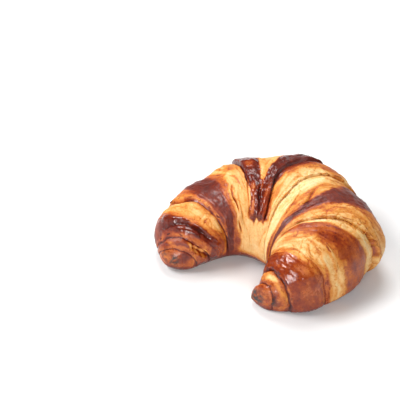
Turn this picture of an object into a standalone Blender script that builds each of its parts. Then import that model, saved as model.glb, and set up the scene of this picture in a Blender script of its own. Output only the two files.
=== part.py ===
"""Pretzel croissant: a crescent of rolled dough about 135 mm across, lying on its flat baked underside.

The dough was a long triangle, rolled up from its base and bent round. Its narrow end is the tongue over
the middle, and the laps under it step down towards both horns. Each lap lies with its free edge on the
next one, so it has a groove at its covered side, a swollen crest and a lip at its free side.
Sizes are in millimetres up to the last step, which makes them metres.
"""

import bmesh
import bpy
import numpy as np

MM = 0.001

# Plan of the crescent at its stations, left horn first: the outer side's x and y, the inner side's x and y,
# and the height there.
STATIONS = (
    (-43, -51, -22, -47, 20),
    (-54, -31, -17, -36, 34),
    (-54, -9, -8, -20, 48),
    (-46, 17, 0, -12, 57),
    (-28, 45, 9, -10, 62),
    (1, 66, 18, -10, 63),
    (33, 73, 24, -10, 62),
    (59, 64, 27, -9, 61),
    (78, 44, 29, -9, 57),
    (80, 14, 30, -12, 50),
    (66, -16, 30, -20, 36),
    (47, -31, 29, -28, 22),
    (37, -36, 23, -32, 13),
)
TIP_ROUNDING = (15.0, 9.0)
SECTION_POWER_ABOVE = 2.1
SECTION_POWER_BELOW = 2.5
SINK = 5.0
SINK_SHARE = 0.12
SOFT_FOOT = 2.5

# Where the grooves between the laps run: their places along the body, counted from the left horn's tip,
# on the outer side, on top, in front of the top, on the inner side, at its foot and underneath.
GROOVE_ANGLES = (20, 90, 130, 165, 200, 290)
GROOVES = (
    (3.5, 4.5, 7.0, 12.0, 17.0, 9.0),
    (6.0, 9.0, 14.0, 21.0, 27.0, 14.0),
    (25.0, 33.5, 37.0, 41.0, 45.0, 33.0),
    (63.0, 68.0, 71.0, 73.0, 74.0, 68.0),
    (105.0, 89.5, 92.0, 94.0, 96.0, 100.0),
    (121.0, 106.0, 102.0, 104.0, 108.0, 114.0),
    (149.0, 143.0, 139.0, 139.0, 143.0, 146.0),
    (175.0, 172.5, 168.0, 167.0, 169.0, 172.0),
    (191.0, 189.5, 186.0, 184.0, 185.0, 188.0),
    (198.0, 197.0, 196.0, 195.0, 196.0, 197.0),
)

# The laps between the grooves: rows of faces, the sides that are free (-1 towards the left horn, 1 towards
# the right), the crest's place from the covered side (0) to the free one (1), its height, and the height
# of the free edge's lip.
LAPS = (
    ("left tip", 5, -1, 0.45, 0.5, 0.0),
    ("left third lap", 5, -1, 0.60, 1.1, 0.6),
    ("left second lap", 13, -1, 0.78, 2.5, 1.6),
    ("left first lap", 16, -1, 0.72, 2.6, 1.9),
    ("tongue", 13, 0, 0.50, 3.4, 2.0),
    ("right inner lap", 8, 1, 0.55, 1.4, 0.9),
    ("right first lap", 17, 1, 0.55, 2.3, 1.8),
    ("right second lap", 14, 1, 0.42, 2.8, 0.8),
    ("right third lap", 10, 1, 0.42, 2.9, 1.5),
    ("right fourth lap", 5, 1, 0.60, 1.1, 0.6),
    ("right tip", 5, 1, 0.45, 0.4, 0.0),
)
GROOVE_DEPTH = (0.7, 1.4, 2.0, 1.6, 1.6, 1.3, 1.4, 1.0, 1.7, 1.0)
TONGUE_LAP = 4
TONGUE_GROOVES = (3, 4)
STEP_WIDTH = 0.7
LAP_SPAN = (-55.0, -25.0, 190.0, 215.0)
TONGUE_SPAN = (-35.0, -10.0, 138.0, 150.0)
SPLIT_PLACE = 0.46
SPLIT_WIDTH = 0.2
SPLIT_DEPTH = 2.2
SPLIT_SPAN = (-30.0, 0.0, 88.0, 118.0)
FULL_RELIEF_SPACING = 0.55

# Swellings and hollows that hand shaping left: place along the body, angle, half length, half turn, height.
SWELLS = (
    (60.0, 50, 8.0, 45, 3.0),
    (48.0, 55, 7.0, 35, -1.8),
    (98.0, 40, 8.0, 35, 2.8),
    (127.0, 38, 11.0, 42, -4.8),
    (144.5, -4, 5.5, 28, 3.2),
    (154.0, -10, 4.0, 28, -2.0),
    (20.0, 45, 8.0, 35, 1.8),
    (11.0, 30, 8.0, 45, 1.8),
    (172.0, 5, 12.0, 40, -1.6),
    (197.0, 130, 5.0, 50, -1.5),
)

# The slow unevenness of handmade dough: waves along the body, waves round it, start angle and height.
LUMPS = ((2.0, 1, 0.4, 0.5), (3.0, 2, 2.1, 0.4), (5.0, 2, 4.4, 0.4), (8.0, 3, 1.3, 0.3))

COLUMNS = 48
COLUMN_CROWDING = 0.22
FINE = 2000


def smooth_curve(x, xs, ys):
    """Cubic curve through the points xs, ys, with slopes from their neighbours."""
    xs, ys = np.asarray(xs, float), np.asarray(ys, float)
    slopes = np.gradient(ys, xs, axis=0)
    i = np.clip(np.searchsorted(xs, x) - 1, 0, len(xs) - 2)
    step = xs[i + 1] - xs[i]
    t = (x - xs[i]) / step
    if ys.ndim > 1:
        t, step = t[..., None], step[..., None]
    return ((1 + 2 * t) * (1 - t) ** 2 * ys[i] + t * (1 - t) ** 2 * step * slopes[i]
            + t * t * (3 - 2 * t) * ys[i + 1] + t * t * (t - 1) * step * slopes[i + 1])


def ramp(x, start, end):
    t = np.clip((x - start) / (end - start), 0, 1)
    return t * t * (3 - 2 * t)


def window(x, span):
    """0 outside the span's first and last value, and 1 between its second and third."""
    return ramp(x, span[0], span[1]) * (1 - ramp(x, span[2], span[3]))


def body_table():
    """Samples along the body: its length so far, and middle x, y, half width across, height."""
    plan = np.array(STATIONS, float)
    middle = (plan[:, 0:2] + plan[:, 2:4]) / 2
    across = (plan[:, 0:2] - plan[:, 2:4]) / 2
    chord = np.r_[0, np.cumsum(np.linalg.norm(np.diff(middle, axis=0), axis=1))]
    half = np.linalg.norm(across, axis=1)
    turn = np.unwrap(np.arctan2(across[:, 1], across[:, 0]))
    rows = np.column_stack([middle, half, turn, plan[:, 4]])
    table = smooth_curve(np.linspace(0, chord[-1], FINE), chord, rows)
    length = np.r_[0, np.cumsum(np.linalg.norm(np.diff(table[:, 0:2], axis=0), axis=1))]
    return length, table


def body_point(length, table, s, theta, swell):
    """Points at the places s and the angles theta round the section, swollen outwards by swell."""
    x, y, half, turn, height = (np.interp(s, length, table[:, i]) for i in range(5))
    left = np.clip(s / TIP_ROUNDING[0], 0, 1)
    right = np.clip((length[-1] - s) / TIP_ROUNDING[1], 0, 1)
    cap = np.sqrt((1 - (1 - left) ** 2) * (1 - (1 - right) ** 2))
    sink = np.minimum(SINK, SINK_SHARE * height)
    rise = (height + sink) / 2
    c, n = np.cos(theta), np.sin(theta)
    power = np.where(n > 0, SECTION_POWER_ABOVE, SECTION_POWER_BELOW)
    reach = (np.abs(c) ** power + np.abs(n) ** power) ** (-1 / power)
    out = (half + swell) * cap * c * reach
    z = rise - sink + (rise + swell) * cap * n * reach
    foot = (z + SOFT_FOOT) ** 2 / (4 * SOFT_FOOT)
    z = np.where(z > SOFT_FOOT, z, np.where(z > -SOFT_FOOT, foot, 0))
    return np.stack([x + np.cos(turn) * out, y + np.sin(turn) * out, z], axis=-1)


def groove_places(theta_deg, total):
    """The places of all edges at each angle: the left tip, the grooves and the right tip."""
    angles = np.array(GROOVE_ANGLES, float)
    around = np.r_[angles[-1] - 360, angles, angles[0] + 360]
    theta = (theta_deg + 70) % 360 - 70
    lines = [np.zeros_like(theta)]
    for groove in GROOVES:
        lines.append(smooth_curve(theta, around, np.r_[groove[-1], groove, groove[0]]))
    lines.append(np.full_like(theta, total))
    return lines


def lap_profile(v, crest_at, crest, lip, depth):
    """Relief across a lap, from its covered side (0) to its free edge (1)."""
    up = -depth + (crest + depth) * np.sin(np.pi / 2 * np.clip(v / crest_at, 0, 1)) ** 0.8
    fall = np.clip((v - crest_at) / (1 - crest_at), 0, 1)
    down = lip + (crest - lip) * np.cos(np.pi / 2 * fall)
    return np.where(v < crest_at, up, down)


def tongue_profile(v, theta_deg, crest, lip):
    """Relief across the tongue: two ridges with a pale split between them that closes over the top."""
    dome = lip + (crest - lip) * np.sin(np.pi * v) ** 0.7
    split = np.exp(-((v - SPLIT_PLACE) / SPLIT_WIDTH) ** 2) * window(theta_deg, SPLIT_SPAN)
    return dome - SPLIT_DEPTH * split


def lumps(share, theta):
    total = 0.0
    for along, around, start, height in LUMPS:
        total = total + height * np.sin(along * np.pi * share + around * theta + start)
    return total


def swells(s, theta_deg):
    total = 0.0
    for place, angle, length, turn, height in SWELLS:
        away = ((theta_deg - angle) / turn) ** 2 + ((s - place) / length) ** 2
        total = total + height * np.exp(-away)
    return total


def croissant_rings(columns):
    """All rings of points from the left tip to the right one, in millimetres."""
    length, table = body_table()
    round_angle = np.arange(columns) / columns * 2 * np.pi
    theta = round_angle + COLUMN_CROWDING * np.cos(round_angle)
    theta_deg = (np.degrees(theta) + 90) % 360 - 90
    lines = groove_places(theta_deg, length[-1])
    on_lap = window(theta_deg, LAP_SPAN)
    on_tongue = window(theta_deg, TONGUE_SPAN)
    rings = []
    for number, (_, rows, free, crest_at, crest, lip) in enumerate(LAPS):
        first, last = lines[number], lines[number + 1]
        first = first + (STEP_WIDTH / 2 if number else 0)
        last = last - (STEP_WIDTH / 2 if number < len(LAPS) - 1 else 0)
        covered = number if free < 0 else number - 1
        depth = GROOVE_DEPTH[covered] if 0 <= covered < len(GROOVE_DEPTH) else 0.0
        depth = depth * (on_tongue if covered in TONGUE_GROOVES else on_lap)
        for row in range(rows + 1):
            share = row / rows
            s = first + (last - first) * share
            if number == TONGUE_LAP:
                relief = tongue_profile(share, theta_deg, crest, lip) * on_tongue
            else:
                v = share if free > 0 else 1 - share
                relief = lap_profile(v, crest_at, crest * on_lap, lip * on_lap, depth)
            relief = relief + lumps(s / length[-1], theta) * on_lap + swells(s, theta_deg)
            near = body_point(length, table, np.clip(s - 0.5, 0, None), theta, 0)
            far = body_point(length, table, np.clip(s + 0.5, None, length[-1]), theta, 0)
            spacing = np.linalg.norm(far - near, axis=-1)
            relief = relief * np.clip(spacing / FULL_RELIEF_SPACING, 0.15, 1)
            rings.append(body_point(length, table, s, theta, relief))
    return np.array(rings)


def croissant_mesh():
    """A sphere whose rings become the croissant's sections and whose poles become the horns' tips."""
    rings = croissant_rings(COLUMNS)
    low, high = rings.min(axis=(0, 1)), rings.max(axis=(0, 1))
    rings -= [(low[0] + high[0]) / 2, (low[1] + high[1]) / 2, low[2]]
    rings *= MM
    bm = bmesh.new()
    parallels = len(rings) - 1
    bmesh.ops.create_uvsphere(bm, u_segments=COLUMNS, v_segments=parallels, radius=1)
    for vert in bm.verts:
        ring = round(np.arccos(np.clip(vert.co.z, -1, 1)) / np.pi * parallels)
        column = round(np.arctan2(vert.co.y, vert.co.x) / (2 * np.pi) * COLUMNS) % COLUMNS
        vert.co = rings[ring, column] if 0 < ring < parallels else rings[ring].mean(axis=0)
    bmesh.ops.triangulate(bm, faces=bm.faces[:])
    bmesh.ops.recalc_face_normals(bm, faces=bm.faces[:])
    mesh = bpy.data.meshes.new("croissant")
    bm.to_mesh(mesh)
    bm.free()
    mesh.shade_smooth()
    return mesh


def crust_material():
    material = bpy.data.materials.new("baked crust")
    material.use_nodes = True
    shader = material.node_tree.nodes["Principled BSDF"]
    shader.inputs["Base Color"].default_value = (0.42, 0.13, 0.035, 1)
    shader.inputs["Roughness"].default_value = 0.42
    shader.inputs["Metallic"].default_value = 0.0
    material.diffuse_color = (0.42, 0.13, 0.035, 1)
    return material


def main():
    for obj in list(bpy.data.objects):
        bpy.data.objects.remove(obj, do_unlink=True)
    croissant = bpy.data.objects.new("croissant", croissant_mesh())
    croissant.data.materials.append(crust_material())
    bpy.context.scene.collection.objects.link(croissant)


main()
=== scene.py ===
# %% [markdown]
# # A pretzel croissant
# The real thing is one long triangle of layered dough, rolled up from its base, bent into a
# crescent, dipped in lye and baked. Lye turns what it touches a deep reddish brown, and the dough
# that opens up later in the oven stays cream and golden. This lesson models that history: the bent
# body first, then the laps of the roll, then the leaves of dough at each free edge, then the crust.

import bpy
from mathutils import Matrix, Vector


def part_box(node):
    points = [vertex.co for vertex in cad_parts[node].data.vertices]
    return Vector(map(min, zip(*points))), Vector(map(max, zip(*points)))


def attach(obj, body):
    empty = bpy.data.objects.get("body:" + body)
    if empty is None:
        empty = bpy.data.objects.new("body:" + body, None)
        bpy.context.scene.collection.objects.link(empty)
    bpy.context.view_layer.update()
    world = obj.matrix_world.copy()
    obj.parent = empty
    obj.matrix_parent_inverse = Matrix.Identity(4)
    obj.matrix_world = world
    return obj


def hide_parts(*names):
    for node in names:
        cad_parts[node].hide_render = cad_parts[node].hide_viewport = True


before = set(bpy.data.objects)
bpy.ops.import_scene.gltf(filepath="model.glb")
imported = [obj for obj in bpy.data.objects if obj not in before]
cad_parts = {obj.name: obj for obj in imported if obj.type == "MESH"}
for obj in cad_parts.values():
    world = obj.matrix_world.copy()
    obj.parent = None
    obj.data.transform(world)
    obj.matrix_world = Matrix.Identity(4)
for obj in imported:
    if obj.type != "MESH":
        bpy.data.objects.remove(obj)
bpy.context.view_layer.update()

# %% [markdown]
# The body is worked out in millimetres, which are easy to picture for food, and one factor turns
# them into Blender's metres at the end.

# %% Tools and units
import math

import bmesh
import bpy
import numpy as np
from mathutils import Vector, noise

MM = 0.001
NODE = "croissant"

# %% [markdown]
# The camera comes first, because every later step is judged through it. It looks down at 45
# degrees from the front right, from 0.85 m away, and its lens makes one picture point 0.75 mm wide
# at the croissant.

# %% Camera
VIEW_AZIMUTH = math.radians(40)
VIEW_ELEVATION = math.radians(45)
VIEW_DISTANCE = 0.85
POINT_SIZE = 0.75 * MM
IMAGE_POINTS = 400
SENSOR = 36.0
NEAREST = 0.01
AIM = Vector((-74.4, 7.6, 0.0)) * MM

toward_camera = Vector((
    math.sin(VIEW_AZIMUTH) * math.cos(VIEW_ELEVATION),
    -math.cos(VIEW_AZIMUTH) * math.cos(VIEW_ELEVATION),
    math.sin(VIEW_ELEVATION),
))


def add_camera():
    camera = bpy.data.cameras.new("camera")
    camera.sensor_width = SENSOR
    camera.lens = SENSOR * VIEW_DISTANCE / (POINT_SIZE * IMAGE_POINTS)
    camera.clip_start = NEAREST
    holder = bpy.data.objects.new("camera", camera)
    holder.location = AIM + toward_camera * VIEW_DISTANCE
    holder.rotation_euler = (-toward_camera).to_track_quat("-Z", "Y").to_euler()
    bpy.context.scene.collection.objects.link(holder)
    bpy.context.scene.camera = holder
    return camera


print("lens in mm:", round(add_camera().lens, 1))

# %% [markdown]
# The light is a studio's: a soft panel overhead and a key light from the left shape the croissant,
# and a fill light from the front brightens the shaded side. Glossy dark crust mirrors whatever is
# bright and would turn milky, so the key and the fill are hidden from glossy rays, as a polariser
# would do, and the surround is low. Three more panels show in the glaze alone: one puts a sheen on
# the crests, and two put sparkle on the bands. A panel's values are its place and size in metres,
# its power in watts, whether it lights the dough, and whether it shows in the glaze.

# %% Light and floor
PANELS = (
    ("overhead", (-0.30, 0.34, 0.88), 0.45, 6.5, True, True),
    ("crest sheen", (0.17, 0.73, 0.66), 0.45, 1.4, False, True),
    ("key", (-0.50, -0.40, 0.76), 0.40, 7.0, True, False),
    ("sparkle", (-0.44, -0.60, 0.66), 0.32, 10.5, False, True),
    ("low sparkle", (0.20, -1.00, 0.12), 0.18, 3.5, False, True),
    ("front", (0.45, -0.78, 0.60), 0.60, 5.0, True, False),
)
SURROUND = 0.22
FLOOR_SIZE = 6.0
FLOOR_DROP = 0.02 * MM
FLOOR_COLOUR = (0.86, 0.86, 0.86, 1)
FLOOR_ROUGHNESS = 0.9


def add_panel(name, place, size, power, diffuse, glossy):
    light = bpy.data.lights.new(name, "AREA")
    light.size = size
    light.energy = power
    holder = bpy.data.objects.new(name, light)
    holder.location = place
    holder.rotation_euler = (-Vector(place)).to_track_quat("-Z", "Y").to_euler()
    holder.visible_diffuse = diffuse
    holder.visible_glossy = glossy
    bpy.context.scene.collection.objects.link(holder)


def add_surround():
    world = bpy.data.worlds.new("surround")
    world.use_nodes = True
    background = world.node_tree.nodes["Background"]
    background.inputs["Color"].default_value = (1, 1, 1, 1)
    background.inputs["Strength"].default_value = SURROUND
    bpy.context.scene.world = world


def add_floor():
    bm = bmesh.new()
    bmesh.ops.create_grid(bm, x_segments=1, y_segments=1, size=FLOOR_SIZE)
    mesh = bpy.data.meshes.new("floor")
    bm.to_mesh(mesh)
    bm.free()
    material = bpy.data.materials.new("pale floor")
    material.use_nodes = True
    shader = material.node_tree.nodes["Principled BSDF"]
    shader.inputs["Base Color"].default_value = FLOOR_COLOUR
    shader.inputs["Roughness"].default_value = FLOOR_ROUGHNESS
    mesh.materials.append(material)
    floor = bpy.data.objects.new("floor", mesh)
    floor.location.z = -FLOOR_DROP
    bpy.context.scene.collection.objects.link(floor)


for panel in PANELS:
    add_panel(*panel)
add_surround()
add_floor()
bpy.context.scene.view_settings.view_transform = "Standard"

# %% [markdown]
# A bent roll has no straight axis, so the plan is given by stations instead: where the outer side
# and the inner side of the crescent are, and how high the dough stands there. The sections fan out
# from the tight inner bend, as the folds of the real one do. Thirteen stations are enough, with a
# smooth curve through them. A station's values are x and y of the outer side, x and y of the inner
# side, and the height, all in millimetres.

# %% The crescent's plan
STATIONS = (
    (-43, -51, -22, -47, 20),
    (-54, -31, -17, -36, 34),
    (-54, -9, -8, -20, 48),
    (-46, 17, 0, -12, 57),
    (-28, 45, 9, -10, 62),
    (1, 66, 18, -10, 63),
    (33, 73, 24, -10, 62),
    (59, 64, 27, -9, 61),
    (78, 44, 29, -9, 57),
    (80, 14, 30, -12, 50),
    (66, -16, 30, -20, 36),
    (47, -31, 29, -28, 22),
    (37, -36, 23, -32, 13),
)
FINE = 2000


def smooth_curve(x, xs, ys):
    """Cubic curve through the points xs, ys, with slopes from their neighbours."""
    xs, ys = np.asarray(xs, float), np.asarray(ys, float)
    slopes = np.gradient(ys, xs, axis=0)
    i = np.clip(np.searchsorted(xs, x) - 1, 0, len(xs) - 2)
    step = xs[i + 1] - xs[i]
    t = (x - xs[i]) / step
    if ys.ndim > 1:
        t, step = t[..., None], step[..., None]
    return ((1 + 2 * t) * (1 - t) ** 2 * ys[i] + t * (1 - t) ** 2 * step * slopes[i]
            + t * t * (3 - 2 * t) * ys[i + 1] + t * t * (t - 1) * step * slopes[i + 1])


def body_table():
    plan = np.array(STATIONS, float)
    middle = (plan[:, 0:2] + plan[:, 2:4]) / 2
    across = (plan[:, 0:2] - plan[:, 2:4]) / 2
    chord = np.r_[0, np.cumsum(np.linalg.norm(np.diff(middle, axis=0), axis=1))]
    half = np.linalg.norm(across, axis=1)
    turn = np.unwrap(np.arctan2(across[:, 1], across[:, 0]))
    rows = np.column_stack([middle, half, turn, plan[:, 4]])
    table = smooth_curve(np.linspace(0, chord[-1], FINE), chord, rows)
    length = np.r_[0, np.cumsum(np.linalg.norm(np.diff(table[:, 0:2], axis=0), axis=1))]
    return length, table


LENGTH, TABLE = body_table()
TOTAL = LENGTH[-1]
print("length of the roll in mm:", round(TOTAL, 1))

# %% [markdown]
# Across, the roll is a soft rounded oval that has settled on the tray: full on top, squarer below
# and flat where it touches. Angle 0 is the outer side, 90 the top, 180 the inner side and 270 the
# underside. The two horns close in rounded tips, and the left one is blunter than the right.

# %% The section of the roll
TIP_ROUNDING = (15.0, 9.0)
TIP_POINT = 0.85
POWER_ABOVE = 2.1
POWER_BELOW = 2.5
SINK = 5.0
SINK_SHARE = 0.12
SOFT_FOOT = 2.5


def body_point(s, theta, swell):
    """The point at a place along the roll and an angle, moved outwards by a swell."""
    x, y, half, turn, height = (np.interp(s, LENGTH, TABLE[:, i]) for i in range(5))
    left = np.clip(s / TIP_ROUNDING[0], 0, 1)
    right = np.clip((TOTAL - s) / TIP_ROUNDING[1], 0, 1)
    cap = np.sqrt(1 - (1 - left) ** 2) * (1 - (1 - right) ** 2) ** TIP_POINT
    sink = np.minimum(SINK, SINK_SHARE * height)
    rise = (height + sink) / 2
    c, n = np.cos(theta), np.sin(theta)
    power = np.where(n > 0, POWER_ABOVE, POWER_BELOW)
    reach = (np.abs(c) ** power + np.abs(n) ** power) ** (-1 / power)
    out = (half + swell) * cap * c * reach
    z = rise - sink + (rise + swell) * cap * n * reach
    foot = (z + SOFT_FOOT) ** 2 / (4 * SOFT_FOOT)
    z = np.where(z > SOFT_FOOT, z, np.where(z > -SOFT_FOOT, foot, 0))
    return np.stack([x + np.cos(turn) * out, y + np.sin(turn) * out, z], axis=-1)


# %% [markdown]
# A groove runs round the body wherever one lap of the roll ends on the next. Each is given by its
# place along the body at six angles, because the laps lean, and a smooth closed curve joins them.

# %% Grooves between the laps
GROOVE_ANGLES = (20, 90, 130, 165, 200, 290)
GROOVES = (
    (3.5, 4.5, 7.0, 12.0, 17.0, 9.0),
    (6.0, 9.0, 14.0, 21.0, 27.0, 14.0),
    (25.0, 33.5, 37.0, 41.0, 45.0, 33.0),
    (63.0, 68.0, 71.0, 73.0, 74.0, 68.0),
    (105.0, 89.5, 92.0, 94.0, 96.0, 100.0),
    (121.0, 106.0, 102.0, 104.0, 108.0, 114.0),
    (149.0, 143.0, 139.0, 139.0, 143.0, 146.0),
    (175.0, 172.5, 168.0, 167.0, 169.0, 172.0),
    (191.0, 189.5, 186.0, 184.0, 185.0, 188.0),
    (198.0, 197.0, 196.0, 195.0, 196.0, 197.0),
)


def line_round(places, theta_deg):
    """A place along the body for every angle, smooth all the way round."""
    angles = np.array(GROOVE_ANGLES, float)
    around = np.r_[angles[-1] - 360, angles, angles[0] + 360]
    theta = (theta_deg + 70) % 360 - 70
    return smooth_curve(theta, around, np.r_[places[-1], places, places[0]])


# %% [markdown]
# Each lap has a groove at its covered side, swells to a crest and rounds over to a free lip. The
# rows of the mesh follow the laps, so that a lip can be crisp without a very fine mesh elsewhere.
# A lap's values are: rows, free side (-1 left, 1 right, 0 both), where its crest is from the covered
# side (0) to the free one (1), the crest's height and the lip's height. The tongue is open at both
# sides and split along its middle. A few lips are lifted further over part of the turn: their
# values are the lap's number, the angle, the half turn in degrees and the height.

# %% The laps
LAPS = (
    ("left tip", 18, -1, 0.45, 0.5, 0.0),
    ("left third lap", 18, -1, 0.60, 1.1, 0.6),
    ("left second lap", 56, -1, 0.78, 2.5, 1.6),
    ("left first lap", 76, -1, 0.72, 2.6, 1.9),
    ("tongue", 62, 0, 0.50, 3.4, 2.0),
    ("right inner lap", 40, 1, 0.55, 1.4, 0.9),
    ("right first lap", 82, 1, 0.55, 2.3, 1.8),
    ("right second lap", 62, 1, 0.42, 2.8, 0.8),
    ("right third lap", 40, 1, 0.42, 2.9, 1.5),
    ("right fourth lap", 16, 1, 0.60, 1.1, 0.6),
    ("right tip", 16, 1, 0.45, 0.4, 0.0),
)
GROOVE_DEPTH = (0.7, 1.4, 2.0, 1.6, 1.6, 1.1, 1.0, 0.6, 1.7, 1.0)
LIP_LIFTS = ((6, -6, 26, 2.2), (3, 70, 40, 0.6), (2, 120, 40, 0.5), (8, 100, 40, 0.6))
PILLOWING = 0.35
BAY_SMOOTHING = 0.8
BAY_ANGLES = (136, 156)
TONGUE = 4
TONGUE_GROOVES = (3, 4)
OVERHANG = 0.35
LAP_SPAN = (-55.0, -25.0, 190.0, 215.0)
TONGUE_SPAN = (-35.0, -10.0, 142.0, 147.0)
SPLIT_PLACE = 0.46
SPLIT_WIDTH = 0.2
SPLIT_DEPTH = 2.2
SPLIT_SPAN = (-30.0, 0.0, 88.0, 118.0)
CREST_FULLNESS = 0.8
TONGUE_FULLNESS = 0.7


def ramp(x, start, end):
    """Rises softly from 0 at the start to 1 at the end."""
    t = np.clip((x - start) / (end - start), 0, 1)
    return t * t * (3 - 2 * t)


def window(x, span):
    """Is 1 between the span's middle two values and 0 outside its outer two."""
    return ramp(x, span[0], span[1]) * (1 - ramp(x, span[2], span[3]))


def lap_profile(v, crest_at, crest, lip, depth):
    up = -depth + (crest + depth) * np.sin(np.pi / 2 * np.clip(v / crest_at, 0, 1)) ** CREST_FULLNESS
    fall = np.clip((v - crest_at) / (1 - crest_at), 0, 1)
    down = lip + (crest - lip) * np.cos(np.pi / 2 * fall)
    return np.where(v < crest_at, up, down)


def tongue_profile(v, theta_deg, crest, lip):
    dome = lip + (crest - lip) * np.sin(np.pi * v) ** TONGUE_FULLNESS
    split = np.exp(-((v - SPLIT_PLACE) / SPLIT_WIDTH) ** 2) * window(theta_deg, SPLIT_SPAN)
    return dome - SPLIT_DEPTH * split


# %% [markdown]
# Hand shaping leaves its own swellings and hollows. Each is a soft bump with a place, an angle, a
# half length in millimetres, a half turn in degrees and a height, and slow waves add the rest.

# %% Unevenness
SWELLS = (
    (60.0, 50, 8.0, 45, 3.0),
    (48.0, 55, 7.0, 35, -1.8),
    (98.0, 40, 8.0, 35, 2.8),
    (127.0, 38, 11.0, 42, -4.8),
    (144.5, -4, 5.5, 28, 3.2),
    (154.0, -10, 4.0, 28, -2.0),
    (20.0, 45, 8.0, 35, 1.8),
    (11.0, 30, 8.0, 45, 1.8),
    (172.0, 5, 12.0, 40, -1.6),
    (197.0, 130, 5.0, 50, -1.5),
    (153.0, 8, 13.0, 42, -1.8),
    (38.0, 62, 18.0, 40, -1.2),
    (92.0, 60, 12.0, 30, -1.0),
)
LUMPS = ((2.0, 1, 0.4, 0.5), (3.0, 2, 2.1, 0.4), (5.0, 2, 4.4, 0.4), (8.0, 3, 1.3, 0.3))


def unevenness(s, theta, theta_deg, on_lap):
    total = 0.0
    for along, around, start, height in LUMPS:
        total = total + height * on_lap * np.sin(along * np.pi * s / TOTAL + around * theta + start)
    for place, angle, length, turn, height in SWELLS:
        away = ((theta_deg - angle) / turn) ** 2 + ((s - place) / length) ** 2
        total = total + height * np.exp(-away)
    return total


# %% [markdown]
# Now the grid of places: one row of the mesh is one ring round the body, one column is one angle.
# Columns crowd together on top, where the detail is, and spread out on the plain underside. Torn
# dough has no ruler-straight edge, so each line wanders a little, by smooth noise round the body.

# %% Places of all rings
COLUMNS = 200
COLUMN_CROWDING = 0.4
RAGGEDNESS = ((2.2, 0.55), (7.0, 0.30))
SEED_STEP = (7.3, 3.1, 5.7)


def noise_at(places, size, seed):
    """Smooth noise from about -1 to 1 at places given in millimetres."""
    shift = [seed * step for step in SEED_STEP]
    spots = (np.asarray(places) / size + shift).reshape(-1, 3)
    values = [noise.noise(spot) for spot in spots.tolist()]
    return np.array(values).reshape(np.shape(places)[:-1])


def ragged(theta, number):
    """How far the free edge with this number strays along the body, in millimetres."""
    total = np.zeros_like(theta)
    for detail, amount in RAGGEDNESS:
        ring = np.stack([np.cos(theta) * detail, np.sin(theta) * detail, 0 * theta + number], -1)
        total += amount * noise_at(ring, 1.0, number)
    return total


def ring_places():
    """Place, lap number, share of the lap and groove depth for each ring and column."""
    round_angle = np.arange(COLUMNS) / COLUMNS * 2 * np.pi
    theta = round_angle + COLUMN_CROWDING * np.cos(round_angle)
    theta_deg = (np.degrees(theta) + 90) % 360 - 90
    lines = [np.zeros(COLUMNS)]
    on_lap = window(theta_deg, LAP_SPAN)
    for number, groove in enumerate(GROOVES):
        lines.append(line_round(groove, theta_deg) + ragged(theta, number) * on_lap)
    lines.append(np.full(COLUMNS, TOTAL))
    places, laps, shares = [], [], []
    for number, lap in enumerate(LAPS):
        rows = lap[1]
        first = lines[number] - (OVERHANG / 2 * on_lap if number else 0)
        last = lines[number + 1] + (OVERHANG / 2 * on_lap if number < len(LAPS) - 1 else 0)
        for row in range(rows + 1):
            share = row / rows
            places.append(first + (last - first) * share)
            laps.append(number)
            shares.append(share)
    return np.array(places), np.array(laps), np.array(shares), theta, theta_deg


S, LAP_OF, SHARE, THETA, THETA_DEG = ring_places()
print("rings and columns:", S.shape, "triangles:", 2 * COLUMNS * (len(S) - 2))

# %% [markdown]
# The relief of the laps is added outwards. Where the sections crowd together at the inner bend the
# laps are narrow, so their relief shrinks with the distance between neighbouring sections, and the
# finest detail all the more.

# %% Main relief
PILLOW_SIZE = 1.9
PILLOW_SEED = 40
LIFT_SHARPNESS = 3
FULL_RELIEF_SPACING = 0.55
LEAST_ROOM = 0.15
FINE_SPACING = (0.3, 0.9)
LEAST_FINE_ROOM = 0.1


def main_relief():
    on_lap = window(THETA_DEG, LAP_SPAN)
    circle = np.stack([np.cos(THETA), np.sin(THETA), 0 * THETA], -1)
    pillows = [noise_at(circle * PILLOW_SIZE, 1.0, PILLOW_SEED + number) for number in range(len(LAPS))]
    on_tongue = window(THETA_DEG, TONGUE_SPAN)
    relief = np.zeros_like(S)
    for ring, number in enumerate(LAP_OF):
        _, _, free, crest_at, crest, lip = LAPS[number]
        if number == TONGUE:
            relief[ring] = tongue_profile(SHARE[ring], THETA_DEG, crest, lip) * on_tongue
            continue
        covered = number if free < 0 else number - 1
        depth = GROOVE_DEPTH[covered] if 0 <= covered < len(GROOVE_DEPTH) else 0.0
        depth = depth * (on_tongue if covered in TONGUE_GROOVES else on_lap)
        v = SHARE[ring] if free > 0 else 1 - SHARE[ring]
        relief[ring] = lap_profile(v, crest_at, crest * on_lap, lip * on_lap, depth)
        if covered in TONGUE_GROOVES:
            relief[ring] *= 1 - BAY_SMOOTHING * ramp(THETA_DEG, *BAY_ANGLES)
        relief[ring] *= 1 + PILLOWING * pillows[number]
        for lifted, angle, turn, height in LIP_LIFTS:
            if lifted == number:
                near = np.exp(-((THETA_DEG - angle) / turn) ** 2)
                relief[ring] += height * v ** LIFT_SHARPNESS * near
    return relief + unevenness(S, THETA, THETA_DEG, on_lap)


def section_spacing():
    """How far apart two sections 1 mm from each other lie at each point."""
    near = body_point(np.clip(S - 0.5, 0, None), THETA, 0)
    far = body_point(np.clip(S + 0.5, None, TOTAL), THETA, 0)
    return np.linalg.norm(far - near, axis=-1)


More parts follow.
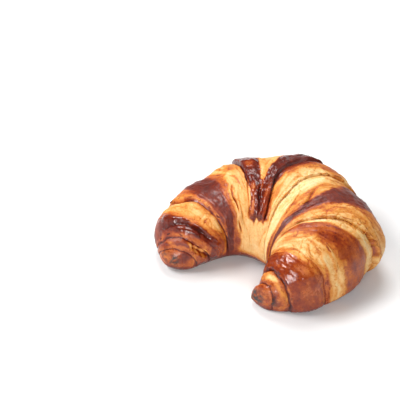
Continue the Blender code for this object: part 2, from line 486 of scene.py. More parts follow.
SPACING = section_spacing()
ROOM = np.clip(SPACING / FULL_RELIEF_SPACING, LEAST_ROOM, 1)
FINE_ROOM = (SPACING - FINE_SPACING[0]) / (FINE_SPACING[1] - FINE_SPACING[0])
FINE_ROOM = np.clip(FINE_ROOM, LEAST_FINE_ROOM, 1)
BODY = body_point(S, THETA, 0)
ROW_PLACE = S.mean(axis=1)[:, None]
relief = main_relief() * ROOM
print("main relief from", round(relief.min(), 1), "to", round(relief.max(), 1), "mm")

# %% [markdown]
# Creases and the free edges of single leaves of dough run in every direction, so they are drawn as
# lines on the surface, through points given by place and angle. The distance from every point of
# the grid to such a line, and on which side of it the point lies, are all that is needed to carve
# it: a crease is a narrow valley, and a leaf stands up to its edge on the left of the line and the
# surface drops away beyond it.

# %% Lines on the surface
LINE_STEP = 0.3
LINE_FADE = 5.0
LINE_MARGIN = 8.0
LINE_TURN_MARGIN = 14.0
DEGREE_WIDTH = 0.52
SWAY_SIZE = 4.0
SWAY = 0.7


def line_samples(points):
    """Close, slightly wandering samples of a line through (place, angle) points."""
    corners = np.array([(s, angle * DEGREE_WIDTH) for s, angle in points], float)
    run = np.r_[0, np.cumsum(np.linalg.norm(np.diff(corners, axis=0), axis=1))]
    steps = np.arange(0, run[-1] + LINE_STEP, LINE_STEP)
    path = smooth_curve(np.clip(steps, 0, run[-1]), run, corners)
    sway = np.column_stack([path / SWAY_SIZE, np.full(len(path), run[-1])])
    path = path + SWAY * np.column_stack([noise_at(sway, 1, 1), noise_at(sway, 1, 2)])
    return path[:, 0], path[:, 1] / DEGREE_WIDTH


def near_line(points):
    """Chosen grid points, their distance to the line, their side of it, and the line's fade."""
    s_line, angle_line = line_samples(points)
    line = body_point(s_line, np.radians(angle_line), 0)
    chosen = (S > s_line.min() - LINE_MARGIN) & (S < s_line.max() + LINE_MARGIN)
    turn = np.broadcast_to(THETA_DEG, S.shape)
    chosen &= turn > angle_line.min() - LINE_TURN_MARGIN
    chosen &= turn < angle_line.max() + LINE_TURN_MARGIN
    apart = np.linalg.norm(BODY[chosen][:, None, :] - line[None], axis=-1)
    nearest = apart.argmin(axis=1)
    distance = apart[np.arange(len(nearest)), nearest]
    go_s = np.gradient(s_line)[nearest]
    go_angle = np.gradient(angle_line)[nearest] * DEGREE_WIDTH
    off_s = (S[chosen] - s_line[nearest]) * SPACING[chosen]
    off_angle = (turn[chosen] - angle_line[nearest]) * DEGREE_WIDTH
    side = np.sign(go_s * off_angle - go_angle * off_s)
    left = np.minimum(nearest, len(s_line) - 1 - nearest) * LINE_STEP
    return chosen, distance, side, ramp(left, 0, min(LINE_FADE, len(s_line) * LINE_STEP / 2.5))


# %% [markdown]
# These are the croissant's own lines: folds where a lap doubles over, cracks where the drying skin
# tore, and leaf edges that run side by side on the outer flank. Each has a depth or height and a
# width in millimetres, and the share by which it is darker: at a leaf's edge because thin edges
# toast first, and in a crease's valley as painted shade.

# %% Creases and leaf edges
CREASES = (
    ("first band's fold", ((9, 50), (12, 76), (16, 95), (20, 115), (24, 140), (27, 158)), 1.4, 1.3, 0.10),
    ("first band's high crest", ((12, 50), (15, 76), (19, 98), (23, 122), (27, 146)), -0.9, 2.0, 0.0),
    ("first band's low crest", ((7, 50), (9.5, 80), (13, 100), (17, 122), (21, 142)), -1.1, 2.0, 0.0),
    ("tip's mouth", ((13, 142), (17, 160), (22, 180), (26, 196)), 1.6, 1.6, 0.25),
    ("front crack", ((57.5, 100), (55.6, 110), (55.4, 120), (57.2, 131), (58.2, 142)), 0.9, 0.7, 0.42),
    ("front crack lower", ((56.5, 148), (58, 160), (61, 172)), 0.7, 0.7, 0.36),
    ("back crack", ((50, 58), (53, 72), (56, 86)), 0.5, 0.6, 0.25),
    ("cream dent", ((61, 112), (60, 126), (62, 140), (63, 154)), 0.5, 0.9, 0.14),
    ("tongue's seam", ((80, 106), (81, 122), (83.5, 132), (85.5, 142)), 1.1, 0.8, 0.15),
    ("ridge dent", ((73, 92), (76, 100), (79, 106)), 0.6, 0.8, 0.10),
    ("slit by the fifth band", ((118, 84), (120, 94), (124, 106), (124, 114)), 0.9, 0.9, 0.22),
    ("third right fold", ((160, 92), (161.5, 108), (160, 124)), 0.5, 0.7, 0.16),
    ("dark band's dent", ((158, 96), (160, 80), (161, 62)), 0.5, 1.0, 0.04),
    ("nub's crevice, painted shade", ((196.8, 40), (197.5, 16), (198, -10)), 1.2, 1.0, 0.30),
    ("end bulge dent", ((179, 128), (183, 112), (186, 100)), 0.5, 1.0, 0.05),
    ("bay's left fold", ((62, 150), (68, 164), (76, 184)), 0.8, 1.8, 0.12),
    ("bay's right fold", ((104, 148), (98, 162), (90, 186)), 0.9, 1.6, 0.14),
    ("bay's short fold", ((84, 156), (88, 166), (97, 176)), 0.5, 1.2, 0.08),
)
LEAVES = (
    ("tip arc", ((15, 160), (11, 135), (7.5, 112), (5.5, 88), (4.4, 56)), 0.7, 2.4, 0.10),
    ("second lap's lower leaf", (
        (44, 178), (40.5, 150), (38, 128),
        (36.6, 104), (34.6, 74), (32, 46),
    ), 0.8, 1.8, 0.12),
    ("cream fold", ((65, 112), (62.5, 102), (59.5, 92), (55.5, 84)), 0.8, 3.0, 0.26),
    ("cream leaf", ((68, 120), (66, 104), (62, 92)), 0.5, 2.5, 0.12),
    ("arch", ((104, 66), (109, 66), (115, 65), (121, 64)), 0.8, 3.0, 0.32),
    ("arch second", ((107, 57), (112, 57), (117, 54), (122, 48)), 0.8, 2.6, 0.34),
    ("arch third", ((108, 45), (112, 41), (117, 39), (122, 42)), 0.7, 2.6, 0.22),
    ("arch fourth", ((110, 28), (115, 26), (120, 27)), 0.6, 2.6, 0.18),
    ("patch", ((112, 96), (114, 108), (117, 120), (121, 134)), 0.5, 3.0, 0.10),
    ("right first leaf", (
        (135.5, 84), (138, 60), (142, 48),
        (146, 32), (148, 12), (146, -34),
    ), 0.7, 2.2, 0.16),
    ("right second leaf", ((141, 68), (146, 50), (149, 34), (149, 8), (150, -30)), 0.7, 2.0, 0.15),
    ("right speckled leaf", (
        (148.5, 12), (150, 36), (149.5, 52), (146.8, 64),
        (144.6, 82), (142, 98), (138.8, 114),
    ), 0.5, 2.4, 0.13),
    ("right pale leaf", (
        (152, 0), (153, 24), (151.5, 46), (149.5, 64),
        (147.4, 82), (144, 100), (141.5, 118),
    ), 0.5, 2.0, 0.05),
    ("gold leaf", (
        (173, -40), (174, -12), (174, 16), (173, 44),
        (170.5, 66), (167, 84), (162, 102),
    ), 0.8, 2.2, 0.18),
    ("gold leaf second", (
        (170, -38), (171, -12), (171.4, 12), (170.3, 32),
        (168, 52), (165.4, 70), (161.5, 88),
    ), 0.7, 2.0, 0.15),
    ("gold leaf third", (
        (167.5, -36), (168.5, -10), (169, 14),
        (167.6, 34), (165.8, 52), (163, 70),
    ), 0.5, 1.8, 0.10),
    ("back leaf", ((116, -36), (113, -8), (113, 14)), 0.7, 2.6, 0.20),
    ("back leaf second", ((119, -34), (118, -6), (118, 22)), 0.6, 2.2, 0.18),
    ("back leaf third", ((97, -36), (96, -4), (97, 24), (94, 56)), 0.7, 2.4, 0.20),
    ("back leaf fourth", ((128, -34), (129, 0), (130, 30)), 0.5, 2.6, 0.10),
    ("left back leaf", ((55, 66), (53, 36), (53, 4), (55, -34)), 0.7, 2.4, 0.20),
    ("left back leaf second", ((58, 58), (57, 24), (58, -30)), 0.6, 2.2, 0.20),
    ("left back leaf third", ((33, 40), (29, 14), (28, -30)), 0.6, 2.2, 0.16),
    ("left back leaf fourth", ((23, 30), (21, 4), (21, -30)), 0.5, 2.2, 0.12),
    ("pale flake", ((164.5, 100), (167.5, 92), (170.8, 86), (172.5, 74)), 0.6, 1.8, 0.14),
)
EDGE_WIDTH = 0.35
LEAF_SHARE = 0.1
TINT_WIDTH = 0.6
LINE_STRENGTH = 1.5


def add_lines(relief, tint):
    for _, points, depth, width, darker in CREASES:
        chosen, distance, _, fade = near_line(points)
        relief[chosen] -= LINE_STRENGTH * depth * np.exp(-(distance / width) ** 2) * fade * ROOM[chosen]
        # A crease's darkening is painted shade along its valley.
        tint[chosen] += darker * np.exp(-(distance / TINT_WIDTH) ** 2) * fade
    for _, points, height, reach, darker in LEAVES:
        chosen, distance, side, fade = near_line(points)
        raised = (LEAF_SHARE + np.tanh(side * distance / EDGE_WIDTH) / 2) * np.exp(-distance / reach)
        relief[chosen] += LINE_STRENGTH * height * raised * fade * ROOM[chosen]
        tint[chosen] += darker * np.exp(-(distance / TINT_WIDTH) ** 2) * fade


tint = np.zeros_like(S)
add_lines(relief, tint)
print("creases and leaves:", len(CREASES) + len(LEAVES))

# %% [markdown]
# Lye, heat and the opening of the dough decide how dark each place is. One number per point, from 0
# for cream dough to 1 for the darkest crust, is enough to drive the colour later. It changes across
# lines that run round the body like the grooves: their places at six angles from the outer side over
# the top to the inner side, the darkness beyond the line, and how softly it changes in millimetres.

# %% How dark the crust is
BAKE_ANGLES = (20, 60, 90, 115, 140, 165)
BEFORE_ANGLES = (-90, -30)
AFTER_ANGLES = (200, 270)
FIRST_BAKE = 0.56
BAKE_LINES = (
    ((3.6, 4.0, 4.6, 6.2, 8.6, 12.1), 0.44, 0.8),
    ((4.2, 5.0, 6.2, 8.0, 10.6, 14.2), 0.64, 1.6),
    ((5.2, 6.3, 8.4, 11.4, 16.2, 21.6), 0.56, 1.4),
    ((6.4, 7.6, 9.6, 13.8, 19.4, 25.2), 0.80, 1.8),
    ((12.4, 14.6, 18.2, 21.6, 26.2, 31.4), 0.52, 1.8),
    ((14.6, 16.8, 21.0, 25.6, 30.6, 37.0), 0.27, 4.2),
    ((24.0, 27.0, 30.5, 33.0, 35.6, 38.6), 0.34, 4.0),
    ((26.0, 29.4, 33.6, 35.6, 38.2, 41.0), 0.46, 0.8),
    ((34.0, 34.8, 35.8, 37.6, 40.0, 42.0), 0.80, 2.4),
    ((45.4, 47.0, 49.4, 48.2, 49.6, 50.0), 0.54, 3.0),
    ((49.5, 51.4, 53.8, 53.0, 54.0, 54.6), 0.20, 5.0),
    ((58.5, 60.5, 64.0, 68.5, 70.0, 71.5), 0.24, 3.0),
    ((62.0, 64.2, 66.8, 71.3, 72.4, 74.4), 0.80, 1.4),
    ((73.8, 75.4, 78.4, 82.4, 85.0, 86.0), 0.24, 1.6),
    ((88.6, 86.6, 83.4, 82.6, 85.2, 86.1), 0.80, 1.4),
    ((108.0, 101.5, 92.4, 91.4, 97.5, 99.6), 0.44, 1.8),
    ((113.0, 107.0, 95.0, 94.0, 100.0, 101.5), 0.17, 4.0),
    ((115.5, 110.0, 105.8, 102.6, 104.8, 106.0), 0.10, 1.0),
    ((119.0, 117.5, 116.5, 114.0, 119.0, 122.0), 0.38, 3.4),
    ((124.6, 122.2, 124.8, 123.6, 125.0, 129.0), 0.78, 2.4),
    ((139.0, 137.0, 133.2, 129.8, 134.5, 136.5), 0.42, 2.2),
    ((143.0, 141.0, 137.6, 134.2, 137.3, 137.8), 0.27, 4.0),
    ((149.8, 147.6, 144.0, 140.4, 139.2, 138.6), 0.13, 1.6),
    ((153.5, 151.8, 148.4, 144.4, 141.4, 140.2), 0.58, 2.4),
    ((156.5, 155.0, 151.0, 146.6, 142.6, 141.2), 0.60, 4.0),
    ((164.6, 162.9, 159.8, 155.0, 147.0, 143.4), 0.44, 2.6),
    ((167.0, 165.4, 162.6, 158.0, 151.0, 147.6), 0.20, 3.6),
    ((172.0, 173.4, 173.0, 170.0, 165.0, 161.0), 0.38, 3.4),
    ((174.6, 176.6, 176.6, 174.6, 170.8, 168.0), 0.58, 2.2),
    ((178.0, 179.6, 179.4, 177.4, 173.6, 171.0), 0.66, 4.4),
    ((190.4, 190.9, 189.8, 188.2, 185.8, 184.8), 0.58, 0.7),
    ((192.2, 192.8, 191.8, 190.4, 188.2, 187.0), 0.43, 1.6),
    ((195.2, 195.4, 195.0, 194.6, 194.0, 193.0), 0.54, 1.6),
    ((198.0, 197.6, 197.0, 196.4, 196.0, 195.0), 0.56, 1.2),
)


def bake_line(places):
    """The line's place at every angle, which stays as it is before the first and past the last."""
    angles = np.r_[BEFORE_ANGLES, BAKE_ANGLES, AFTER_ANGLES]
    values = np.r_[places[0], places[0], places, places[-1], places[-1]]
    return smooth_curve(THETA_DEG, angles, values)


def crust_darkness(s):
    """The darkness of the bands at the places s, before patches and noise."""
    bake = np.full_like(S, FIRST_BAKE)
    before = FIRST_BAKE
    for places, after, soft in BAKE_LINES:
        line = bake_line(places)
        soft_here = soft * np.clip(SPACING, 0.3, 1)
        bake += (after - before) * ramp(s - line, -soft_here / 2, soft_here / 2)
        before = after
    return bake


# %% [markdown]
# Some colours are patches and not stripes: a few spots are orange, cream or nearly black, and the
# shade between the ridges and the two in the bay are painted shade. Each patch has its place and
# angle, its half size in millimetres and degrees, and its darkness. Burnt spots are given in the
# same way, with a strength, because burnt crust is grey and not brown; the one in the nub's
# crevice is painted shade.

# %% Patches and burnt spots
PATCHES = (
    ("arch", (111, 45), (7, 12), 0.50),
    ("arch outer", (113, 14), (6, 22), 0.50),
    ("arch crown", (98, 78), (4, 9), 0.52),
    ("behind the arch", (118, 64), (6, 9), 0.26),
    ("ridge side", (95, 112), (3.4, 14), 0.42),
    ("knot between the ridges", (80.5, 108), (3.0, 7), 0.70),
    ("tongue's flank", (72, 144), (2.0, 8), 0.55),
    ("cream back", (60, 66), (4.5, 14), 0.44),
    ("left first lap foot", (34, 178), (6, 22), 0.60),
    ("rosy edge of the second band", (52.6, 84), (1.8, 14), 0.50),
    ("left first lap streak", (25, 112), (5, 5), 0.42),
    ("left first lap streak low", (29, 128), (4, 5), 0.40),
    ("second band spot", (48.6, 104), (2.0, 5), 0.62),
    ("second band's lower border", (38.6, 138), (1.8, 17), 0.60),
    # These two darken the bay's hollow as painted shade.
    ("bay deep, painted shade", (122, 172), (5, 26), 0.62),
    ("bay left, painted shade", (54.6, 184), (4.6, 18), 0.66),
    ("right lap cream", (170, 62), (3.0, 12), 0.12),
    ("right lap cream low", (171.4, 20), (1.8, 22), 0.10),
    ("right lap pale flake", (167, 88), (3.2, 6), 0.12),
    ("right lap orange", (160, 124), (4, 12), 0.42),
    ("right lap crown", (165, 100), (4, 12), 0.16),
    ("first band's flank", (11, 28), (6, 16), 0.68),
    ("tip's dark side", (7.0, 160), (4.0, 22), 0.80),
    ("tip's yellow rim", (13.4, 143), (1.7, 12), 0.24),
    ("tip's yellow rim middle", (17.0, 159), (1.9, 12), 0.20),
    ("tip's yellow rim low", (21.4, 177), (2.1, 13), 0.26),
    ("tip's red arc", (4.6, 60), (1.2, 30), 0.70),
    ("right corner", (146, -12), (3.6, 18), 0.13),
    ("golden lap", (138, 78), (3.0, 20), 0.31),
    ("pale lap", (144.4, 100), (2.2, 18), 0.06),
    ("left ridge low", (75.5, 134), (2.2, 13), 0.48),
    ("left ridge red", (73.5, 112), (1.8, 7), 0.54),
    ("left ridge crown", (70, 76), (2.4, 8), 0.58),
    ("left ridge crown far", (72, 56), (3.0, 8), 0.62),
    ("right ridge red", (88, 118), (2.2, 14), 0.60),
    ("right ridge back", (95, 72), (2.5, 9), 0.66),
    ("right ridge low", (93, 132), (3, 12), 0.62),
    ("orange by the fifth band", (120.5, 96), (2.2, 7), 0.50),
    ("fifth band low", (130, 124), (3.4, 20), 0.84),
    ("shade between the ridges", (80, 74), (2.6, 10), 0.32),
    ("orange by the fifth band low", (124.0, 122), (2.2, 9), 0.46),
    ("end bulge flank", (181, 22), (7, 30), 0.57),
    ("end bulge shoulder", (181, 66), (3.4, 14), 0.52),
    ("end bulge inner", (176, 142), (6, 16), 0.70),
    ("yellow by the nub", (192.6, 96), (1.4, 24), 0.18),
)
CHAR = (
    ("left tip", (1.8, 142), (2.0, 30), 1.4),
    ("left tip's side", (1.6, 60), (2.0, 40), 0.5),
    ("left tip's foot", (1.2, 200), (2.4, 60), 0.35),
    ("first fold", (18.6, 112), (1.6, 7), 0.7),
    ("first fold low", (23.4, 134), (1.6, 7), 0.7),
    ("nub's end", (206.4, 90), (3.4, 140), 1.6),
    ("nub's side", (203.5, 64), (3.6, 44), 0.32),
    # The nub's crevice is painted shade, made near black like burnt crust.
    ("nub's crevice, painted shade", (197.8, 0), (1.4, 20), 1.0),
    ("left ridge", (75.5, 90), (3.0, 7), 0.35),
    ("left knot", (77.5, 110), (2.4, 8), 0.45),
    ("right ridge", (89.5, 98), (2.4, 8), 0.60),
    ("right ridge far", (92, 64), (3.4, 9), 0.45),
    ("second band", (41, 82), (3.0, 9), 0.25),
)


def patch_share(s, theta_deg, centre, size):
    """How much of a patch shows at each point: 1 at its centre, 0 well outside it."""
    away = ((s - centre[0]) / size[0]) ** 2 + ((theta_deg - centre[1]) / size[1]) ** 2
    return np.exp(-away ** 1.5)


print("patches:", len(PATCHES), "burnt spots:", len(CHAR))

# %% [markdown]
# The borders of real crust are never smooth: lye runs and skin tears. So the place and the angle are
# shifted by noise, coarse and fine, before the bands and the patches are looked up. The tongue's
# dark glaze ends in a ragged line above the bay, so the bay is made pale after the patches.

# %% Bands and patches with ragged borders
BORDER_NOISE = ((9.0, 0.9), (3.2, 0.6), (1.4, 0.35))
BORDER_SEED = 3
BORDER_SPACING = (0.45, 1.6)
ANGLE_NOISE = ((5.0, 4.0, 11), (2.0, 2.0, 12))
TONGUE_END = (
    (60, 160), (70, 150), (75, 151), (79, 152), (82, 147), (85, 150), (91, 148), (100, 144), (110, 160),
)
TONGUE_PLACES = (62.0, 68.0, 101.0, 107.0)
BAY_BAKE = 0.17
CHAR_NOISE = (0.6, 1.2)
CHAR_NOISE_SIZE = 2.2
CHAR_SEED = 14

wander = sum(amount * noise_at(BODY, size, BORDER_SEED + size) for size, amount in BORDER_NOISE)
wander_angle = sum(amount * noise_at(BODY, size, seed) for size, amount, seed in ANGLE_NOISE)
s_here = S + wander / np.clip(SPACING, *BORDER_SPACING)
angle_here = THETA_DEG + wander_angle
bake = crust_darkness(s_here)
for _, centre, size, value in PATCHES:
    bake += (value - bake) * patch_share(s_here, angle_here, centre, size)
tongue_end = np.interp(S, *zip(*TONGUE_END))
below = ramp(angle_here - tongue_end, -1.5, 2.5) * window(S, TONGUE_PLACES)
bake += (BAY_BAKE - bake) * below
char = np.zeros_like(S)
for _, centre, size, value in CHAR:
    char = np.maximum(char, value * patch_share(s_here, angle_here, centre, size))
least_char, more_char = CHAR_NOISE
char = np.clip(char * (least_char + more_char * noise_at(BODY, CHAR_NOISE_SIZE, CHAR_SEED)), 0, 1)
print("darkness of the bands from", round(bake.min(), 2), "to", round(bake.max(), 2))

# %% [markdown]
# Three more things darken the crust. The underside and the flank near the tray are browner. Fine
# streaks round the roll come from the leaves of dough, which brown unevenly side by side. And the
# covered side of each lap is darkened with painted shade, for the shade that gathers in its groove.
# How well a place is glazed varies along the roll, and is kept beside the darkness.

# %% Foot, streaks, painted crevice shade and gloss
CREVICE_PAINTED_SHADE = 0.34
CREVICE_WIDTH = 0.9
CREVICE_SHADE_SHARES = {5: 0.45, 6: 0.6, 7: 0.35}
STREAKS = ((2.2, 2.0, 0.20), (1.1, 3.2, 0.16))
STREAK_SWAY = 0.5
STREAK_SHARE = (
    (0, 0.7), (18, 0.5), (32, 0.6), (60, 0.4), (100, 0.7), (120, 0.9), (150, 0.8), (207, 0.7),
)
DARK_STREAKS = 0.15
GLOSS = (
    (0, 0.9), (5, 0.9), (7, 0.3), (10, 0.4), (13, 1.0), (28, 1.0), (36, 0.4), (50, 0.4),
    (66, 0.9), (84, 0.9), (92, 0.6), (122, 0.4), (140, 0.4),
    (150, 0.6), (172, 0.7), (178, 1.0), (207, 1.0),
)
UNDERSIDE_BAKE = 0.78
UNDERSIDE_SPAN = (-62.0, -22.0, 196.0, 214.0)
FOOT_HEIGHT = (1.0, 9.0)
FOOT_BAKE = 0.16


def painted_crevice_shade():
    """How much painted shade each point gets near the covered side of its lap, from 0 to 1."""
    near = np.zeros_like(S)
    for ring, number in enumerate(LAP_OF):
        free = LAPS[number][2]
        covered = number if free < 0 else number - 1
        if free:
            rows = LAP_OF == number
            width = np.ptp(S[rows], axis=0) * SPACING[ring]
            v = SHARE[ring] if free > 0 else 1 - SHARE[ring]
            share = CREVICE_SHADE_SHARES.get(covered, 1.0)
            near[ring] = np.exp(-(v * width / CREVICE_WIDTH) ** 2) * share
            if covered in TONGUE_GROOVES:
                near[ring] *= window(THETA_DEG, TONGUE_SPAN)
    return near * np.clip((SPACING - 0.25) / 0.5, 0, 1)


above = window(THETA_DEG, UNDERSIDE_SPAN)
bake = UNDERSIDE_BAKE + (bake - UNDERSIDE_BAKE) * above
bake += FOOT_BAKE * (1 - ramp(BODY[..., 2], *FOOT_HEIGHT)) * above
around = np.broadcast_to(np.stack([np.cos(THETA), np.sin(THETA)], -1), (*S.shape, 2))
streaky = np.interp(S, *zip(*STREAK_SHARE)) * FINE_ROOM * above
streaky *= 1 - (1 - DARK_STREAKS) * ramp(bake, 0.5, 0.72)
for size, length, amount in STREAKS:
    along = ((ROW_PLACE + STREAK_SWAY * wander) / size)[..., None]
    bake += amount * noise_at(np.concatenate([along, around * length], -1), 1.0, size) * streaky
# Painted shade on the covered side of each lap, most of it in pale dough.
bake += CREVICE_PAINTED_SHADE * painted_crevice_shade() * above * (1 - ramp(bake, 0.6, 0.9))
gloss = np.interp(S, *zip(*GLOSS))
print("darkness from", round(bake.min(), 2), "to", round(bake.max(), 2))

# %% [markdown]
# The smallest relief that a mesh of this size can hold comes last. Pale dough dries in fine wrinkles
# that run round the roll, because it was stretched along it, and in places its skin crumples into
# thin winding valleys. Glazed crust blisters instead, most of all on the tongue, and all of it has
# the soft bumps of a hand-rolled thing.

# %% Wrinkles and blisters
WRINKLES = ((2.6, 0.30), (1.3, 0.16))
WRINKLE_SWAY = 0.6
WRINKLE_TURNS = 2.6
BLISTERS = ((4.5, 0.40), (2.0, 0.20), (1.1, 0.10))
DARK_SMOOTHING = 0.35
TONGUE_LUMPS = 0.8
BUMPS = ((16.0, 0.9), (7.0, 0.35))
CRUMPLES = ((6.0, 0.07, 0.50, 0.17), (2.8, 0.09, 0.30, 0.12))
CRUMPLED_AREA_SIZE = 14.0
BLISTER_SEED, BUMP_SEED, CRUMPLE_SEED, AREA_SEED = 20, 30, 50, 60


def crumples(bake):
    """Thin winding valleys, found where smooth noise is near zero, in some areas only."""
    valleys = np.zeros_like(S)
    darker = np.zeros_like(S)
    for size, width, depth, tinting in CRUMPLES:
        line = np.exp(-(noise_at(BODY, size, CRUMPLE_SEED + size) / width) ** 2)
        area = ramp(noise_at(BODY, CRUMPLED_AREA_SIZE, AREA_SEED + size), -0.15, 0.25)
        line *= area * (1 - ramp(bake, 0.4, 0.6))
        valleys += depth * line
        darker += tinting * line
    return valleys * FINE_ROOM, darker * FINE_ROOM


def small_relief(bake):
    """Wrinkles, blisters and bumps in millimetres, which suit how dark each place is."""
    dark = ramp(bake, 0.45, 0.75)
    circle = np.stack([np.cos(THETA), np.sin(THETA)], -1) * WRINKLE_TURNS
    around = np.broadcast_to(circle, (*S.shape, 2))
    total = np.zeros_like(S)
    for size, height in WRINKLES:
        along = ((ROW_PLACE + WRINKLE_SWAY * wander) / size)[..., None]
        ridged = 1 - 2 * np.abs(noise_at(np.concatenate([along, around], -1), 1.0, size))
        total += height * (ridged - 0.6) * (1 - DARK_SMOOTHING * dark)
    lumpy = 1 + TONGUE_LUMPS * window(S, TONGUE_PLACES)
    for size, height in BLISTERS:
        total += height * noise_at(BODY, size, BLISTER_SEED + size) * dark * lumpy
    for size, height in BUMPS:
        total += height * noise_at(BODY, size, BUMP_SEED + size)
    return total * ROOM * window(THETA_DEG, LAP_SPAN)


valleys, darker = crumples(bake)
tint += darker * window(THETA_DEG, LAP_SPAN)
relief = relief + small_relief(bake) - valleys * window(THETA_DEG, LAP_SPAN)
print("full relief from", round(relief.min(), 1), "to", round(relief.max(), 1), "mm")

# %% [markdown]
# The croissant itself starts as a sphere, because a sphere already has rings, columns and two closed
# poles. Every point is moved to its place on the croissant, and the poles become the horns' tips.
# The same grid gives a tidy map of the surface, so a texture can be baked onto it without overlaps.
# Blender lists a new sphere's faces in another order on each run, so they are sorted first.

# %% From sphere to croissant
def centred(points):
    """Moves the points so that their middle is that of the solid in the frame."""
    low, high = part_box(NODE)
    here_low, here_high = points.min(axis=(0, 1)) * MM, points.max(axis=(0, 1)) * MM
    shift = (np.array(low + high) - here_low - here_high) / 2
    shift[2] = low.z - here_low[2]
    print("moved by, in mm:", (shift / MM).round(2))
    return points * MM + shift


def sort_faces(bm, parallels):
    """Puts the sphere's faces in order, from pole to pole and round each ring."""
    def number(face):
        centre = face.calc_center_median().normalized()
        ring = int(math.acos(centre.z) / math.pi * parallels)
        column = int(math.atan2(centre.y, centre.x) / (2 * math.pi) % 1 * COLUMNS)
        return ring * COLUMNS + column
    bm.faces.sort(key=number)


def sphere_to_rings(points, attributes):
    """A sphere whose rings and columns are laid on the points, with the attributes' values."""
    bm = bmesh.new()
    parallels = len(points) - 1
    poles = (0, parallels)
    bmesh.ops.create_uvsphere(bm, u_segments=COLUMNS, v_segments=parallels, radius=1)
    sort_faces(bm, parallels)
    layers = {name: bm.verts.layers.float.new(name) for name in attributes}
    uv = bm.loops.layers.uv.new("OFBake")
    grid = {}
    for vert in bm.verts:
        ring = round(math.acos(max(-1.0, min(1.0, vert.co.z))) / math.pi * parallels)
        column = round(math.atan2(vert.co.y, vert.co.x) / (2 * math.pi) * COLUMNS) % COLUMNS
        grid[vert] = (ring, column)
    for vert, (ring, column) in grid.items():
        pole = ring in poles
        vert.co = points[ring].mean(axis=0) if pole else points[ring, column]
        for name, layer in layers.items():
            values = attributes[name]
            vert[layer] = float(values[ring].mean() if pole else values[ring, column])
    for face in bm.faces:
        columns = [grid[vert][1] for vert in face.verts if grid[vert][0] not in poles]
        wraps = max(columns) - min(columns) > COLUMNS / 2
        for loop in face.loops:
            ring, column = grid[loop.vert]
            if ring in poles:
                column = min(columns) + 0.5 if not wraps else COLUMNS - 0.5
            elif wraps and column < COLUMNS / 2:
                column += COLUMNS
            loop[uv].uv = (column / COLUMNS, ring / parallels)
    bmesh.ops.recalc_face_normals(bm, faces=bm.faces[:])
    mesh = bpy.data.meshes.new(NODE)
    bm.to_mesh(mesh)
    bm.free()
    mesh.shade_smooth()
    return mesh


points = centred(body_point(S, THETA, relief))
surface = {"bake": bake, "tint": tint, "char": char, "gloss": gloss}
croissant = bpy.data.objects.new("baked_croissant", sphere_to_rings(points, surface))
bpy.context.scene.collection.objects.link(croissant)
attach(croissant, "root")
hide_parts(NODE)
print("faces:", len(croissant.data.polygons))

# %% [markdown]
# Baked leaves of dough are as thin as paper and lift off where they end. These flakes are separate
# thin sheets: each starts just inside a free lip, runs on over the groove and curls up a little. A
# grid gives the sheet, and its points are laid along the lip.

# %% One flake
FLAKE_ROWS = 3
FLAKE_STEP = 0.8
FLAKE_ROOT = 0.9
FLAKE_INSET = 0.7
FLAKE_COLOUR_INSET = 1.2
FLAKE_BASE_WIDTH = 0.5
FLAKE_SINK = 0.25
FLAKE_TAPER = 0.25
TORN_SIZE = 1.3
TORN_SHARE = 0.5
DARKEST_FLAKE = 0.9
POINTS_MM = points / MM


def column_at(angle_deg):
    """The mesh's column that lies nearest to an angle."""
    return int(np.argmin(np.abs((THETA_DEG - angle_deg + 180) % 360 - 180)))


def surface_at(s, angle_deg):
    """The finished surface's point at a place and an angle."""
    column = column_at(angle_deg)
    along = np.maximum.accumulate(S[:, column])
    ring = int(np.clip(np.searchsorted(along, s), 1, len(S) - 2))
    share = np.clip((s - along[ring - 1]) / max(along[ring] - along[ring - 1], 1e-6), 0, 1)
    return POINTS_MM[ring - 1, column] * (1 - share) + POINTS_MM[ring, column] * share


def surface_value(values, s, angle_deg):
    column = column_at(angle_deg)
    return float(values[int(np.argmin(np.abs(S[:, column] - s))), column])


def add_flake(bm, layer, edge, free, middle, length, width, lift, seed):
    """One flake on the line edge(angle), sticking out on the side given by free."""
    around = max(4, int(length / FLAKE_STEP))
    sheet = bmesh.ops.create_grid(bm, x_segments=around, y_segments=FLAKE_ROWS, size=0.5)["verts"]
    for vert in sheet:
        u, v = vert.co.x, vert.co.y + 0.5
        angle = middle + u * length / DEGREE_WIDTH
        place = edge(angle)
        here = surface_at(place - free * FLAKE_INSET, angle)
        turn = math.radians(angle)
        along = body_point(place + 1, turn, 0) - body_point(place - 1, turn, 0)
        side = body_point(place, turn + 0.05, 0) - body_point(place, turn - 0.05, 0)
        onward = free * along / np.linalg.norm(along)
        up = np.cross(side, along)
        up = up / np.linalg.norm(up)
        taper = max(FLAKE_TAPER, math.sqrt(max(0.0, 1 - (2 * u) ** 2)))
        torn = 1 + TORN_SHARE * noise.noise((u * length / TORN_SIZE, seed, v * 0.6))
        full_width = FLAKE_ROOT + FLAKE_BASE_WIDTH + width * torn
        reach = -FLAKE_ROOT + full_width * taper * v
        height = -FLAKE_SINK + lift * max(0.0, reach + 0.3) ** 1.2 / 2
        vert.co = Vector(here + onward * reach + up * height) * MM
        below_flake = surface_value(bake, place - free * FLAKE_COLOUR_INSET, angle)
        vert[layer] = min(DARKEST_FLAKE, below_flake + 0.10 + 0.14 * v)


print("a flake of 6 mm has", FLAKE_ROWS * int(6 / FLAKE_STEP), "faces before it is thickened")

# %% [markdown]
# Flakes sit on the free lips of the laps and on the larger leaves. The tables give a lap's groove,
# its free side, the angles between which its flakes sit, and how many there are, or a leaf's name
# and how many it has. Either way an edge is a function that turns an angle into a place.

